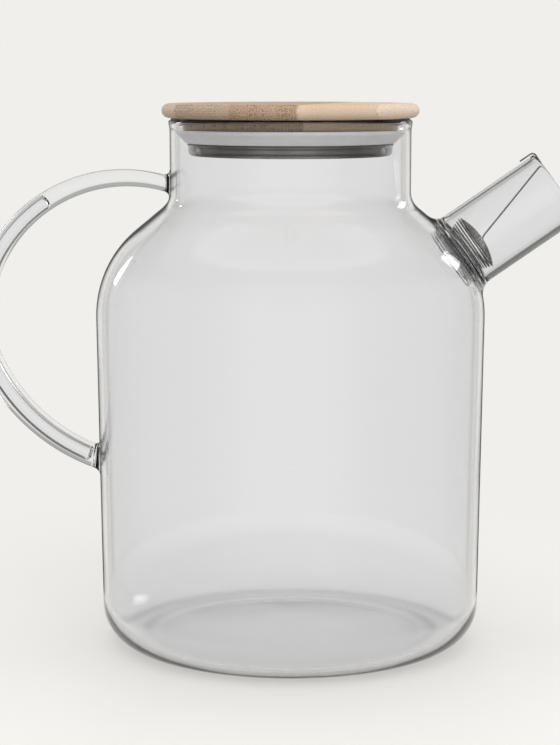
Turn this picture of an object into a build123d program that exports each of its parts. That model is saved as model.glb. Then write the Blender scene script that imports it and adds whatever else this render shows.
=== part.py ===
from build123d import *
import math
import os

# Clear glass jug with a tube spout, a looped glass handle, a turned bamboo lid
# and a spring filter in the spout. Millimetres, z = 0 on the table, and the
# jug's own axis is x = y = 0. The spout points to +X and the handle to -X.

# Two shapes nearer than this count as touching when edges are picked
touch = 0.001

# Glass body
wall = 1.9
foot_r = 62.8
foot_corner_r = 13.0
shoulder_slope = 39.6
shoulder_widening = 1.8
shoulder_r = 37.0
neck_r = 39.7
neck_foot_z = 147.4
neck_foot_fillet = 6.2
rim_z = 174.6
rim_swell = 0.35
rim_swell_height = 3.5
rim_bevel = 0.8
floor_z = 2.6
punt_r = 44.0
punt_depth = 1.0

# Spout, measured along its own axis from where that crosses the jug's axis
spout_angle = 34.7
spout_axis_z = 91.35
spout_r = 13.0
spout_wall = 1.8
spout_reach = 106.4
spout_lip_length = 3.0
spout_lip_flare = 0.35
spout_weld_r = 3.0
spout_inner_round = 1.2
spout_lip_bevel = 0.6

# Handle: three tangent arcs in the plane y = 0, as (radius, turn in degrees)
handle_start = (-37.6, 152.1)
handle_heading = 160.0
handle_arcs = [(48.6, 95.0), (38.2, 42.0), (62.0, 47.5)]
handle_neck_r = 2.65
handle_body_r = 3.9
handle_bore_r = 1.8
handle_bore_sides = 8
handle_bore_span = (0.28, 0.94)
handle_full_r_from = 0.65
handle_weld_r = 2.0

# Bamboo lid: a turned blank of edge-glued strips
lid_r = 41.8
lid_z = 174.7
lid_top_z = 179.4
lid_edge_inset = 2.2
lid_edge_widest_z = 177.05
plug_r = 35.2
plug_low_r = 33.0
groove_r = 30.6
groove_z = (166.4, 171.2)
plug_bottom_z = 162.9
strip_width = 21.5
strip_offset = -13.2
strip_direction = 74.0

# Silicone ring in the groove
seal_clearance = 0.1
seal_r = 37.65
seal_low_r = 34.3
seal_lip_thickness = 1.1
seal_web_r = 32.6
seal_notch_r = 33.4
seal_notch_depth = 3.0

# Pressed steel pan on the foot of the plug, and the nails through its side
pan_r = 33.5
pan_gauge = 0.5
pan_top_z = 166.2
pan_corner = 1.6
pan_lip = 0.45
pan_lip_thickness = 0.4
nail_count = 3
nail_first_angle = -30.0
nail_z = 164.5
nail_head_r = 1.1
nail_head_height = 0.55
nail_head_bevel = 0.35
nail_shank = 0.9
nail_shank_length = 6.0

# Spring filter: one wire wound along the outline of a tube with a domed end, whose
# tail runs straight up the spout and hooks over its lip
wire_r = 0.3
wire_sides = 4
coil_pitch = 1.5
coil_r = 10.6
coil_start = 64.3
coil_dome_start = 73.0
coil_dome_height = 3.9
coil_corner_r = 2.0
coil_tip_r = 1.2
tail_start = 2.4
tail_rise = 16.7
hook_gap = 0.15
hook_reach = 5.3
hook_inner_bend_r = 1.0
hook_outer_bend_r = 1.4


def vessel_corners(inset, bottom_z):
    """Corners (r, z) of the outer outline moved inwards by inset."""
    slope = math.tan(math.radians(shoulder_slope))
    cone_z = neck_foot_z + neck_r * slope - inset / math.cos(math.radians(shoulder_slope))
    lean = shoulder_widening / (cone_z - foot_r * slope)
    shoulder_z = (cone_z - (foot_r - inset) * slope) / (1 + lean * slope)
    bottom = (foot_r - inset + lean * bottom_z, bottom_z)
    shoulder = (foot_r - inset + lean * shoulder_z, shoulder_z)
    neck = (neck_r - inset, cone_z - (neck_r - inset) * slope)
    return bottom, shoulder, neck


def vessel_solid(inset, bottom_z, top_z):
    """Solid of revolution inside the outline that is inset from the outer one."""
    bottom, shoulder, neck = vessel_corners(inset, bottom_z)
    top = (neck_r - inset, top_z)
    radii = [foot_corner_r - inset, shoulder_r - inset, neck_foot_fillet + inset]
    outline = FilletPolyline((0, bottom_z), bottom, shoulder, neck, top, radius=radii)
    closing = Polyline(top, (0, top_z), (0, bottom_z))
    face = make_face(Plane.XZ * (Curve() + [outline, closing]))
    return revolve(face, Axis.Z)


def ring_edges(shape, radius, z):
    """Circular edges of a shape at one radius from the jug's axis and one height."""
    edges = []
    for edge in shape.edges():
        points = [edge @ 0, edge @ 0.5]
        misses = [abs(math.hypot(point.X, point.Y) - radius) + abs(point.Z - z) for point in points]
        if max(misses) < touch:
            edges.append(edge)
    return edges


def punt_solid():
    """Shallow hollow under the floor that leaves a flat ring to stand on."""
    dome = TangentArc((0, punt_depth), (punt_r, 0), tangent=(1, 0))
    closing = Polyline((punt_r, 0), (0, 0), (0, punt_depth))
    return revolve(make_face(Plane.XZ * (Curve() + [dome, closing])), Axis.Z)


def rim_swell_solid():
    """Slightly thicker fire-polished band at the mouth."""
    low = (neck_r, rim_z - rim_swell_height)
    high = (neck_r + rim_swell, rim_z - rim_swell_height / 2)
    top = (neck_r + rim_swell, rim_z)
    inner = neck_r - wall / 2
    outline = Polyline((inner, low[1]), low, high, top, (inner, rim_z), close=True)
    return revolve(make_face(Plane.XZ * outline), Axis.Z)


def spout_plane(distance):
    """Plane square to the spout's axis, a distance along it from the jug's axis."""
    angle = math.radians(spout_angle)
    along = Vector(math.cos(angle), 0, math.sin(angle))
    return Plane(Vector(0, 0, spout_axis_z) + along * distance, x_dir=(0, 1, 0), z_dir=along)


def spout_solid(radius, start):
    """Round body on the spout's axis, from start to the lip, that flares a little at the lip."""
    flare_start = spout_reach - spout_lip_length
    lip_r = radius + spout_lip_flare
    outline = [(0, start), (radius, start), (radius, flare_start), (lip_r, spout_reach), (0, spout_reach)]
    return spout_plane(0) * revolve(make_face(Plane.XZ * Polyline(*outline, close=True)), Axis.Z)


def handle_path():
    """Centre line of the handle as one wire of tangent arcs."""
    heading = math.radians(handle_heading)
    edges = []
    start = handle_start
    for radius, turn in handle_arcs:
        arc = JernArc(start, (math.cos(heading), math.sin(heading)), radius, turn)
        edges.append(Plane.XZ * arc)
        heading += math.radians(turn)
        start = (arc @ 1).X, (arc @ 1).Y
    return Wire([edge.edge() for edge in edges])


def handle_rod(path):
    """Solid round rod along the handle that is thinner towards the neck."""
    sections = []
    for place in (0, handle_full_r_from, 1):
        radius = handle_neck_r if place == 0 else handle_body_r
        plane = Plane(path @ place, x_dir=(0, 1, 0), z_dir=path % place)
        sections.append(plane * Circle(radius))
    return sweep(sections, path, multisection=True)


def handle_bore(path):
    """Closed hollow inside the handle, its section kept to few sides."""
    span = path.trim(*handle_bore_span)
    plane = Plane(span @ 0, x_dir=(0, 1, 0), z_dir=span % 0)
    return sweep(plane * RegularPolygon(handle_bore_r, handle_bore_sides), span)


def weld_edges(fused, first, second):
    """Edges of a fused body that lie on both of the bodies it was made from."""
    edges = []
    for edge in fused.edges():
        point = Vertex(*(edge @ 0.5))
        if max(first.distance_to(point), second.distance_to(point)) < touch:
            edges.append(edge)
    return edges


def glass_parts():
    """Vessel, spout and handle, welded with fillets and then parted at the vessel's skin."""
    skin = vessel_solid(0, 0, rim_z) + rim_swell_solid()
    tube = spout_solid(spout_r, coil_start / 2)
    path = handle_path()
    rod = handle_rod(path)
    with_spout = skin + tube
    with_spout = with_spout.fillet(spout_weld_r, weld_edges(with_spout, skin, tube))
    whole = with_spout + rod
    whole = whole.fillet(handle_weld_r, weld_edges(whole, with_spout, rod))

    chamber = vessel_solid(wall, floor_z, rim_z + wall)
    bore = spout_solid(spout_r - spout_wall, coil_start / 2)
    cavity = chamber + bore
    cavity = cavity.fillet(spout_inner_round, weld_edges(cavity, chamber, bore))

    vessel = (skin & whole) - cavity - punt_solid()
    rim = ring_edges(vessel, neck_r - wall, rim_z) + ring_edges(vessel, neck_r + rim_swell, rim_z)
    vessel = vessel.chamfer(rim_bevel, None, rim)
    outside = (whole - skin - cavity).solids().sort_by(Axis.X)
    handle = outside[0] - handle_bore(path)
    spout = outside[-1]
    mouth = spout_plane(spout_reach)
    lip = [edge for edge in spout.edges() if abs(mouth.to_local_coords(edge @ 0.5).Z) < touch]
    spout = spout.chamfer(spout_lip_bevel, None, lip)
    return vessel, spout, handle


def nails_solid():
    """Square-shank nails with bevelled heads, spaced evenly round the pan's side."""
    head = Pos(0, 0, nail_head_height / 2) * Cylinder(nail_head_r, nail_head_height)
    head = head.chamfer(nail_head_bevel, None, [head.edges().sort_by(Axis.Z)[-1]])
    shank = Pos(0, 0, -nail_shank_length / 2) * Box(nail_shank, nail_shank, nail_shank_length)
    nails = []
    for index in range(nail_count):
        angle = nail_first_angle + index * 360 / nail_count
        place = Rot(0, 0, angle) * Pos(pan_r, 0, nail_z) * Rot(0, 90, 0)
        core = Pos(0, 0, nail_z) * Cylinder(pan_r, pan_r)
        nails.append(place * shank + (place * head - core))
    return Part() + nails


def pan_inner_corner():
    """Size of the pan's inner corner bevel that keeps the gauge even round the corner."""
    return pan_corner - pan_gauge * (2 - math.sqrt(2))


def pan_solid():
    """Pressed steel pan with a bevelled corner and a small turned-out lip."""
    bottom = plug_bottom_z - pan_gauge
    inner_r = pan_r - pan_gauge
    inner_corner = pan_inner_corner()
    lip_z = pan_top_z - pan_lip_thickness
    outline = [
        (0, bottom), (pan_r - pan_corner, bottom), (pan_r, bottom + pan_corner), (pan_r, lip_z),
        (pan_r + pan_lip, lip_z), (pan_r + pan_lip, pan_top_z), (inner_r, pan_top_z),
        (inner_r, plug_bottom_z + inner_corner), (inner_r - inner_corner, plug_bottom_z),
        (0, plug_bottom_z),
    ]
    return revolve(make_face(Plane.XZ * Polyline(*outline, close=True)), Axis.Z)


def lid_blank():
    """Disc with a rounded edge, plug and seal groove, turned as one bamboo blank."""
    corner = pan_inner_corner()
    top, under = (lid_r - lid_edge_inset, lid_top_z), (lid_r - lid_edge_inset, lid_z)
    edge = ThreePointArc(under, (lid_r, lid_edge_widest_z), top)
    turned = Polyline(
        top, (0, lid_top_z), (0, plug_bottom_z), (plug_low_r - corner, plug_bottom_z),
        (plug_low_r, plug_bottom_z + corner), (plug_low_r, groove_z[0]), (groove_r, groove_z[0]),
        (groove_r, groove_z[1]), (plug_r, groove_z[1]), (plug_r, lid_z), under,
    )
    return revolve(make_face(Plane.XZ * (Curve() + [edge, turned])), Axis.Z)


def lid_strips(blank):
    """The blank parted along its glue lines into edge-glued strips."""
    reach = 2 * lid_r
    lines = [-reach] + [strip_offset + strip_width * step for step in (-1, 0, 1, 2)] + [reach]
    strips = []
    for low, high in zip(lines, lines[1:]):
        slab = Pos(0, (low + high) / 2, lid_z) * Box(2 * reach, high - low, reach)
        strips.append(blank & Rot(0, 0, strip_direction) * slab)
    return strips


def seal_solid():
    """Silicone ring with a web in the groove and one lip that leans out to the glass."""
    low = groove_z[0] + seal_clearance
    high = groove_z[1] - seal_clearance
    inner = groove_r + seal_clearance
    outline = [
        (inner, low), (seal_low_r, low), (seal_r, high - seal_lip_thickness), (seal_r, high),
        (seal_r - seal_lip_thickness, high), (seal_notch_r, high - seal_notch_depth),
        (seal_web_r, high), (inner, high),
    ]
    return revolve(make_face(Plane.XZ * Polyline(*outline, close=True)), Axis.Z)


def dome_shape():
    """Radius of the spring's domed end and the angle it spans from its axis."""
    flat_r = coil_r - coil_corner_r
    rise = coil_dome_height - coil_corner_r
    dome_r = (flat_r ** 2 + coil_dome_height ** 2 - coil_corner_r ** 2) / (2 * rise)
    return dome_r, math.asin(flat_r / (dome_r - coil_corner_r))


def coil_stretches():
    """Lengths of the spring's outline: straight tube, rounded corner and dome."""
    dome_r, span = dome_shape()
    corner = coil_corner_r * (math.pi / 2 - span)
    return coil_dome_start - coil_start, corner, dome_r * span - coil_tip_r


def coil_outline(length):
    """Distance along the spout's axis and radius, at a length along the outline."""
    tube, corner, dome = coil_stretches()
    dome_r, span = dome_shape()
    if length < tube:
        return coil_start + length, coil_r
    if length < tube + corner:
        turned = (length - tube) / coil_corner_r
        along = coil_dome_start + coil_corner_r * math.sin(turned)
        return along, coil_r - coil_corner_r * (1 - math.cos(turned))
    angle = span - (length - tube - corner) / dome_r
    centre = coil_dome_start + coil_dome_height - dome_r
    return centre + dome_r * math.cos(angle), dome_r * math.sin(angle)


def coil_point(turns):
    """Point on the wire's centre line after a number of turns."""
    along, radius = coil_outline(turns * coil_pitch)
    angle = 2 * math.pi * turns
    local = (radius * math.cos(angle), radius * math.sin(angle), along)
    return spout_plane(0).from_local_coords(Vector(*local))


def coil_direction(turns):
    """Direction of the wire after a number of turns."""
    step = 0.001
    return (coil_point(turns + step) - coil_point(max(turns - step, 0))).normalized()


def biarc(start, start_way, end, end_way):
    """Two arcs that leave one point and reach another in the given directions."""
    span = end - start
    ways = start_way + end_way
    spread = 2 * (1 - start_way.dot(end_way))
    reach = -span.dot(ways) + math.sqrt(span.dot(ways) ** 2 + spread * span.dot(span))
    reach /= spread
    first_corner = start + start_way * reach
    second_corner = end - end_way * reach
    middle = (first_corner + second_corner) * 0.5
    first = TangentArc(start, middle, tangent=start_way)
    second = TangentArc(middle, end, tangent=second_corner - first_corner)
    return [first.edge(), second.edge()]


def tail_line():
    """The wire's tail and hook, from just past the dome to the outside of the spout's lip."""
    rise = math.radians(tail_rise)
    apex = coil_dome_start + coil_dome_height
    front = spout_reach + hook_gap + wire_r
    over = spout_r + spout_lip_flare + hook_gap + wire_r
    corners = [
        (apex + tail_start * math.cos(rise), tail_start * math.sin(rise)),
        (front, (front - apex) * math.tan(rise)),
        (front, over),
        (front - hook_reach, over),
    ]
    line = FilletPolyline(*corners, radius=[hook_inner_bend_r, hook_outer_bend_r])
    return Plane(spout_plane(0).origin, x_dir=spout_plane(0).z_dir, z_dir=(0, -1, 0)) * line


def coil_arcs():
    """The spring's turns as arcs, a biarc for each half turn."""
    halves = int(2 * sum(coil_stretches()) / coil_pitch)
    edges = []
    for half in range(halves):
        start, end = half / 2, (half + 1) / 2
        edges += biarc(coil_point(start), coil_direction(start), coil_point(end), coil_direction(end))
    return edges, halves


def filter_solid():
    """Spring filter as one unbroken wire with its tail, its section kept to few sides."""
    turns, halves = coil_arcs()
    tail = tail_line()
    bridge = biarc(coil_point(halves / 2), coil_direction(halves / 2), tail @ 0, tail % 0)
    path = Wire(turns + bridge + tail.edges())
    section = Plane(path @ 0, z_dir=path % 0) * RegularPolygon(wire_r, wire_sides)
    gap = coil_gap(Wire(turns), halves)
    print("spring turns", halves / 2, "least gap between turns, mm", round(gap, 3))
    wire = sweep(section, path)
    print("wire volume over section times length", round(wire.volume / section.area / path.length, 4))
    return wire


def coil_gap(path, halves):
    """Least gap from the wire to itself, measured on points at least half a turn apart."""
    per_half = 12
    points = [path @ (index / (halves * per_half)) for index in range(halves * per_half + 1)]
    least = coil_r
    for index, point in enumerate(points):
        for other in points[index + per_half:]:
            least = min(least, (other - point).length - 2 * wire_r)
    return least


def write_parts():
    """Make every piece and write it to its own file."""
    nails = nails_solid()
    vessel, spout, handle = glass_parts()
    pieces = {
        "vessel": vessel,
        "spout": spout,
        "handle": handle,
        "spout_filter": filter_solid(),
        "lid_seal": seal_solid(),
        "lid_pan": pan_solid() - nails,
        "pan_nails": nails,
    }
    for number, strip in enumerate(lid_strips(lid_blank() - nails), start=1):
        pieces[f"lid_strip_{number}"] = strip
    os.makedirs("parts", exist_ok=True)
    for name, piece in pieces.items():
        export_step(piece, f"parts/{name}.step")
        print(name, "volume", round(piece.volume, 1), "mm3")


write_parts()
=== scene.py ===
# %% [markdown]
# # A lidded glass jug
#
# A blown glass jug stands on a pale table. It has a straight neck, a tube
# spout with a wire spring in its root, a looped handle, and a bamboo lid that
# is pressed into the neck on a silicone ring. Almost everything here is seen
# through glass, so the glass and what it reflects decide how the picture looks.
#
# The frame holds every piece at its real size, in metres, with z = 0 on the
# table, the jug's own axis at x = y = 0, the spout towards +X and the handle
# towards -X. Each finer piece made here stands for one of the frame's solids
# and moves with that solid's body.

# %% Load the frame
import bisect
import math

import bmesh
import bpy
from mathutils import Matrix, Vector, noise


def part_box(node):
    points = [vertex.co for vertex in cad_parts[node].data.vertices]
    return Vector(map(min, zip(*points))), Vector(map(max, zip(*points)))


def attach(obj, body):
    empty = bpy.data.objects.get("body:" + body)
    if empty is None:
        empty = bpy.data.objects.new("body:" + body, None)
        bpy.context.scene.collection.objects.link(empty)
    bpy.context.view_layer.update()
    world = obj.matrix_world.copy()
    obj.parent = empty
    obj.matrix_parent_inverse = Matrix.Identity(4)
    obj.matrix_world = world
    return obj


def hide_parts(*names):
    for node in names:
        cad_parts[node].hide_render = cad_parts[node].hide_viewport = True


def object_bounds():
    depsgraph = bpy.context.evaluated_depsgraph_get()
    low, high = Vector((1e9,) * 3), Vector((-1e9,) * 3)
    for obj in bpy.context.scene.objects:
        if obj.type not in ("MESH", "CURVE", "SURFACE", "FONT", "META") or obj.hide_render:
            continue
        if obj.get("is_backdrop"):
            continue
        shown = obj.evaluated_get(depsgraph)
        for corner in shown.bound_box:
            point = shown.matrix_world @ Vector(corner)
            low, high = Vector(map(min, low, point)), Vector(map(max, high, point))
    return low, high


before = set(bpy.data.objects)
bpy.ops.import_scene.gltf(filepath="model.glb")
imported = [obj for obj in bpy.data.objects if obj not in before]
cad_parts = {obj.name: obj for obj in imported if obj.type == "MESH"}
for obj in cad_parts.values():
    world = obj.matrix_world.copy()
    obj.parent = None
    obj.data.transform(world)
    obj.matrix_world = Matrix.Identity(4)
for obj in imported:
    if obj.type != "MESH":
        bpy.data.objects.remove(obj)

cad_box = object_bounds()
print("frame nodes:", ", ".join(sorted(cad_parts)))

# %% [markdown]
# ## Shader maths that reads as Python
#
# A procedural finish is a sum of patterns. Written node by node it takes a page,
# so one small class wraps a node's output socket. Adding or multiplying two
# wrapped sockets adds the Math node that does it. Any other node comes from one
# method, which takes the node's type, its settings and what goes in its sockets.

# %% A socket that knows arithmetic
class Field:
    """A number, colour or vector that varies over a surface, held as a node's output."""

    def __init__(self, tree, socket=None):
        self.tree = tree
        self.socket = socket

    def node(self, kind, settings=None, inputs=None, output=0):
        """Add a node, set it up, then fill or link its inputs, and wrap one output."""
        made = self.tree.nodes.new(kind)
        for name, value in (settings or {}).items():
            setattr(made, name, value)
        for name, value in (inputs or {}).items():
            if isinstance(value, Field):
                self.tree.links.new(value.socket, made.inputs[name])
            else:
                made.inputs[name].default_value = value
        return Field(self.tree, made.outputs[output])

    def maths(self, operation, first, second=0):
        return self.node("ShaderNodeMath", {"operation": operation}, {0: first, 1: second})

    def __add__(self, other):
        return self.maths("ADD", self, other)

    def __sub__(self, other):
        return self.maths("SUBTRACT", self, other)

    def __rsub__(self, other):
        return self.maths("SUBTRACT", other, self)

    def __mul__(self, other):
        return self.maths("MULTIPLY", self, other)

    def __truediv__(self, other):
        return self.maths("DIVIDE", self, other)

    __radd__, __rmul__ = __add__, __mul__

    def between(self, low, high):
        """0 below low, 1 above high and a smooth step from one to the other."""
        inputs = {"Value": self, "From Min": low, "From Max": high}
        return self.node("ShaderNodeMapRange", {"interpolation_type": "SMOOTHSTEP"}, inputs)

    def mix(self, first, second):
        """Colour that goes from first to second as this value goes from 0 to 1."""
        inputs = {0: self, 6: first, 7: second}
        return self.node("ShaderNodeMix", {"data_type": "RGBA"}, inputs, 2)

    def mix_shaders(self, first, second):
        """Shader that goes from first to second as this value goes from 0 to 1."""
        return self.node("ShaderNodeMixShader", None, {0: self, 1: first, 2: second})


# %% [markdown]
# The same few patterns turn up in every finish: soft noise, one coordinate of a
# place, a bump, and what kind of ray is looking. Each is one node, so each gets a
# short function, and a finish can then be read as a sentence.

# %% Patterns and materials
def cloud(place, scale, detail=2.0):
    """Soft noise from 0 to 1 over the places of a surface."""
    inputs = {"Vector": place, "Scale": scale, "Detail": detail}
    return place.node("ShaderNodeTexNoise", None, inputs)


def coordinate(vector, axis):
    """One of the three numbers of a vector."""
    return vector.node("ShaderNodeSeparateXYZ", None, {0: vector}, axis)


def bump(height, strength, distance):
    """Normals of a surface that the height lifts by up to a distance."""
    inputs = {"Height": height, "Strength": strength, "Distance": distance}
    return height.node("ShaderNodeBump", None, inputs)


def light_path(field, name):
    """What kind of ray looks at the surface, or how often it was turned."""
    return field.node("ShaderNodeLightPath", output=name)


def feed(node, socket, field):
    """Link a field to one of a node's sockets."""
    field.tree.links.new(field.socket, node.inputs[socket])


def new_material(name, **sockets):
    """Material, its places as a field, and its shader with the plain sockets set by name."""
    material = bpy.data.materials.new(name)
    material.use_nodes = True
    shader = material.node_tree.nodes["Principled BSDF"]
    for socket, value in sockets.items():
        shader.inputs[socket.replace("_", " ")].default_value = value
    place = Field(material.node_tree).node("ShaderNodeTexCoord", output="Object")
    return material, place, shader


def show(material, surface):
    """Make a mixed shader the material's surface."""
    feed(material.node_tree.nodes["Material Output"], "Surface", surface)


# %% [markdown]
# ## Outlines with true arcs
#
# Everything turned or blown here is a surface of revolution, so its shape is one
# outline in (radius, height). Listing many points by hand would be hard to read
# and never quite round. An outline is given by its corners and the radius of each
# corner, as a drawing gives it, and it can then be asked for the exact point at
# any length along it. Straight runs and arcs are both walked at an even spacing.

# %% Outline made of lines and corner arcs
shortest_line = 1e-9


class Outline:
    """Line through corners, each rounded by its own radius, in (radius, height)."""

    def __init__(self, corners, radii):
        self.stretches = []
        self.starts = [0.0]
        corners = [Vector(corner) for corner in corners]
        at = corners[0]
        for before, corner, after, radius in zip(corners, corners[1:], corners[2:], radii):
            back, ahead = (before - corner).normalized(), (after - corner).normalized()
            half = back.angle(ahead) / 2
            start = corner + back * radius / math.tan(half)
            self.add_line(at, start)
            at = start
            if radius > 0:
                at = corner + ahead * radius / math.tan(half)
                centre = corner + (back + ahead).normalized() * radius / math.sin(half)
                self.add_arc(centre, start, at)
        self.add_line(at, corners[-1])
        self.length = self.starts[-1]

    def add_line(self, start, end):
        if (end - start).length > shortest_line:
            self.stretches.append(lambda share: start + (end - start) * share)
            self.starts.append(self.starts[-1] + (end - start).length)

    def add_arc(self, centre, start, end):
        arm = start - centre
        turn = math.atan2(arm.cross(end - centre), arm.dot(end - centre))

        def point(share):
            swing = Matrix.Rotation(turn * share, 2)
            return centre + swing @ arm

        self.stretches.append(point)
        self.starts.append(self.starts[-1] + abs(turn) * arm.length)

    def point(self, length):
        """Radius and height at a length along the outline."""
        length = min(max(length, 0.0), self.length)
        index = min(bisect.bisect_right(self.starts, length), len(self.stretches)) - 1
        start, end = self.starts[index], self.starts[index + 1]
        return self.stretches[index]((length - start) / (end - start))

    def stations(self, spacing):
        """Lengths at an even spacing, with one at each end of every line and arc."""
        lengths = []
        for start, end in zip(self.starts, self.starts[1:]):
            steps = max(1, math.ceil((end - start) / spacing))
            lengths += [start + (end - start) * step / steps for step in range(steps)]
        return lengths + [self.length]


rounded_corner = Outline([(0, 0), (10, 0), (10, 10)], [4])
print(f"two 10 mm sides with a 4 mm corner: {rounded_corner.length:.2f} mm")

# %% [markdown]
# ## The blown body
#
# The body is one skin of glass, so its mesh is one closed outline swung round the
# axis: up the outside from the hollow under the foot, over the fire-polished rim
# and down the inside to the floor. The inside repeats the outside a wall's
# thickness further in, which the corners below work out, so both stay parallel.
# The hollow is kept very shallow, because a steeper one would trap the light that
# comes in low over the floor and render as a dark crescent. Its arc is made a hair
# smaller than would fit, so that two arcs never overlap by a rounding error.

# %% Sizes of the blown body
wall = 0.0019
foot_r = 0.0628
foot_corner_r = 0.013
shoulder_slope = math.radians(39.6)
shoulder_widening = 0.0018
shoulder_r = 0.037
neck_r = 0.0397
neck_foot_z = 0.1474
neck_foot_fillet = 0.0062
rim_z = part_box("vessel")[1].z
rim_swell = 0.00035
rim_swell_height = 0.0035
rim_round = 0.00105
floor_z = 0.0026
punt_r = 0.044
punt_depth = 0.00035
punt_edge_round = 0.001
dome_fit = 0.99


def wall_corners(inset, low_z):
    """Corners of the outline between foot and rim, moved inwards by inset."""
    slope = math.tan(shoulder_slope)
    cone_z = neck_foot_z + neck_r * slope - inset / math.cos(shoulder_slope)
    lean = shoulder_widening / (cone_z - foot_r * slope)
    shoulder_z = (cone_z - (foot_r - inset) * slope) / (1 + lean * slope)
    bottom = (foot_r - inset + lean * low_z, low_z)
    shoulder = (foot_r - inset + lean * shoulder_z, shoulder_z)
    neck = (neck_r - inset, cone_z - (neck_r - inset) * slope)
    return [bottom, shoulder, neck]


def body_outline():
    """Closed skin of the vessel, from under the foot over the rim to the floor inside."""
    swell_r = neck_r + rim_swell
    under = [(0, punt_depth), (punt_r / 2, punt_depth), (punt_r, 0)]
    rim = [
        (neck_r, rim_z - rim_swell_height), (swell_r, rim_z - rim_swell_height / 2),
        (swell_r, rim_z), (neck_r - wall, rim_z),
    ]
    inside = list(reversed(wall_corners(wall, floor_z)))
    corners = under + wall_corners(0, 0) + rim + inside + [(0, floor_z)]
    dome_r = punt_r ** 2 / (2 * punt_depth) * dome_fit
    radii = [dome_r, punt_edge_round, foot_corner_r, shoulder_r, neck_foot_fillet]
    radii += [rim_swell_height, rim_swell_height, rim_round, rim_round]
    radii += [neck_foot_fillet + wall, shoulder_r - wall, foot_corner_r - wall]
    return Outline(corners, radii)


jug_outline = body_outline()
stretch_count = len(jug_outline.stretches)
print(f"body outline: {jug_outline.length * 1000:.1f} mm in {stretch_count} stretches")

# %% [markdown]
# ## Meshes from rings
#
# Every piece of this jug is rings joined to rings, so a few helpers make them all:
# one turns an outline into rings, one lays quads between rings, and one closes the
# mesh into an object that is smooth, knows its body and stands for its solids.

# %% Rings and skins
on_axis = 2e-6


def polar(radius, angle, height):
    """Point at a radius and an angle round the jug's axis."""
    return Vector((radius * math.cos(angle), radius * math.sin(angle), height))


def even_turns(count):
    """Angles that share a full turn evenly."""
    return [2 * math.pi * index / count for index in range(count)]


def shares(count):
    """Even shares of a way, from the first step up to 1."""
    return [step / count for step in range(1, count + 1)]


def turned_rings(mesh, outline, spacing, columns):
    """Rings of vertices down an outline, and the length at which each stands."""
    lengths = outline.stations(spacing)
    rings = []
    for length in lengths:
        radius, height = outline.point(length)
        at_end = length in (0, outline.length)
        turns = [0.0] if at_end and radius < on_axis else even_turns(columns)
        rings.append([mesh.verts.new(polar(radius, turn, height)) for turn in turns])
    return rings, lengths


def join_rings(mesh, first, second, skipped=()):
    """Quads from one ring to the next, or a fan where one of them is a single point."""
    count = max(len(first), len(second))
    for here in range(count):
        after = (here + 1) % count
        if here in skipped:
            continue
        corners = [first[here % len(first)], first[after % len(first)]]
        corners += [second[after % len(second)], second[here % len(second)]]
        mesh.faces.new(list(dict.fromkeys(corners)))


def next_ring(mesh, ring, points):
    """New ring through the points, joined to the ring before it."""
    made = [mesh.verts.new(point) for point in points]
    join_rings(mesh, ring, made)
    return made


def face_outwards(mesh):
    """Drop unused vertices, make the faces smooth and turn them all outwards."""
    loose = [vertex for vertex in mesh.verts if not vertex.link_faces]
    bmesh.ops.delete(mesh, geom=loose, context="VERTS")
    for face in mesh.faces:
        face.smooth = True
    bmesh.ops.recalc_face_normals(mesh, faces=mesh.faces[:])


def turned_mesh(outline, spacing, columns):
    """One turned piece as a mesh of its own."""
    mesh = bmesh.new()
    rings, _ = turned_rings(mesh, outline, spacing, columns)
    for first, second in zip(rings, rings[1:]):
        join_rings(mesh, first, second)
    face_outwards(mesh)
    return mesh


# %% Objects and finished pieces
def add_object(name, data):
    """Object in the scene that holds a mesh, a lamp or a camera."""
    made = bpy.data.objects.new(name, data)
    bpy.context.scene.collection.objects.link(made)
    return made


def mesh_object(mesh, name, material):
    """Object of one material that holds a finished mesh."""
    data = bpy.data.meshes.new(name)
    mesh.to_mesh(data)
    mesh.free()
    data.materials.append(material)
    return add_object(name, data)


def finish_piece(mesh, name, body, material, nodes):
    """Turn a mesh into an object that rides on a body and stands for its nodes."""
    open_edges = sum(1 for edge in mesh.edges if not edge.is_manifold)
    piece = mesh_object(mesh, name, material)
    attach(piece, body)
    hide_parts(*nodes)
    print(f"{name}: {len(piece.data.polygons)} faces, {open_edges} open edges")


# %% [markdown]
# ## Tubes welded to the wall
#
# A glassblower melts the spout and the handle on to the wall, and the joint flows
# into a soft fillet. Boolean operations would cut a hard, ragged line there, and
# glass shows every ragged triangle. So each joint is woven instead: a block of the
# wall's quads is left out, and rings lead from the edge of that gap along the wall,
# round the fillet and on to the tube, each with as many points as the gap's edge.
#
# For that the wall needs a chart, which says where a point lies as an angle round
# the axis and a length down the outline, and the tube needs the place where each
# of its lines meets the wall, found by halving.

# %% One side of the wall as a chart
chart_samples = 4000
halvings = 30


def between(samples, values, wanted):
    """Value at a wanted place in rising samples, on the straight line between two."""
    index = min(max(bisect.bisect_right(samples, wanted), 1), len(samples) - 1)
    share = (wanted - samples[index - 1]) / (samples[index] - samples[index - 1])
    return values[index - 1] + (values[index] - values[index - 1]) * share


def crossing(inside, outside, is_outside):
    """Place between inside and outside from which the test holds, found by halving."""
    for _ in range(halvings):
        middle = (inside + outside) / 2
        if is_outside(middle):
            outside = middle
        else:
            inside = middle
    return (inside + outside) / 2


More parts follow.
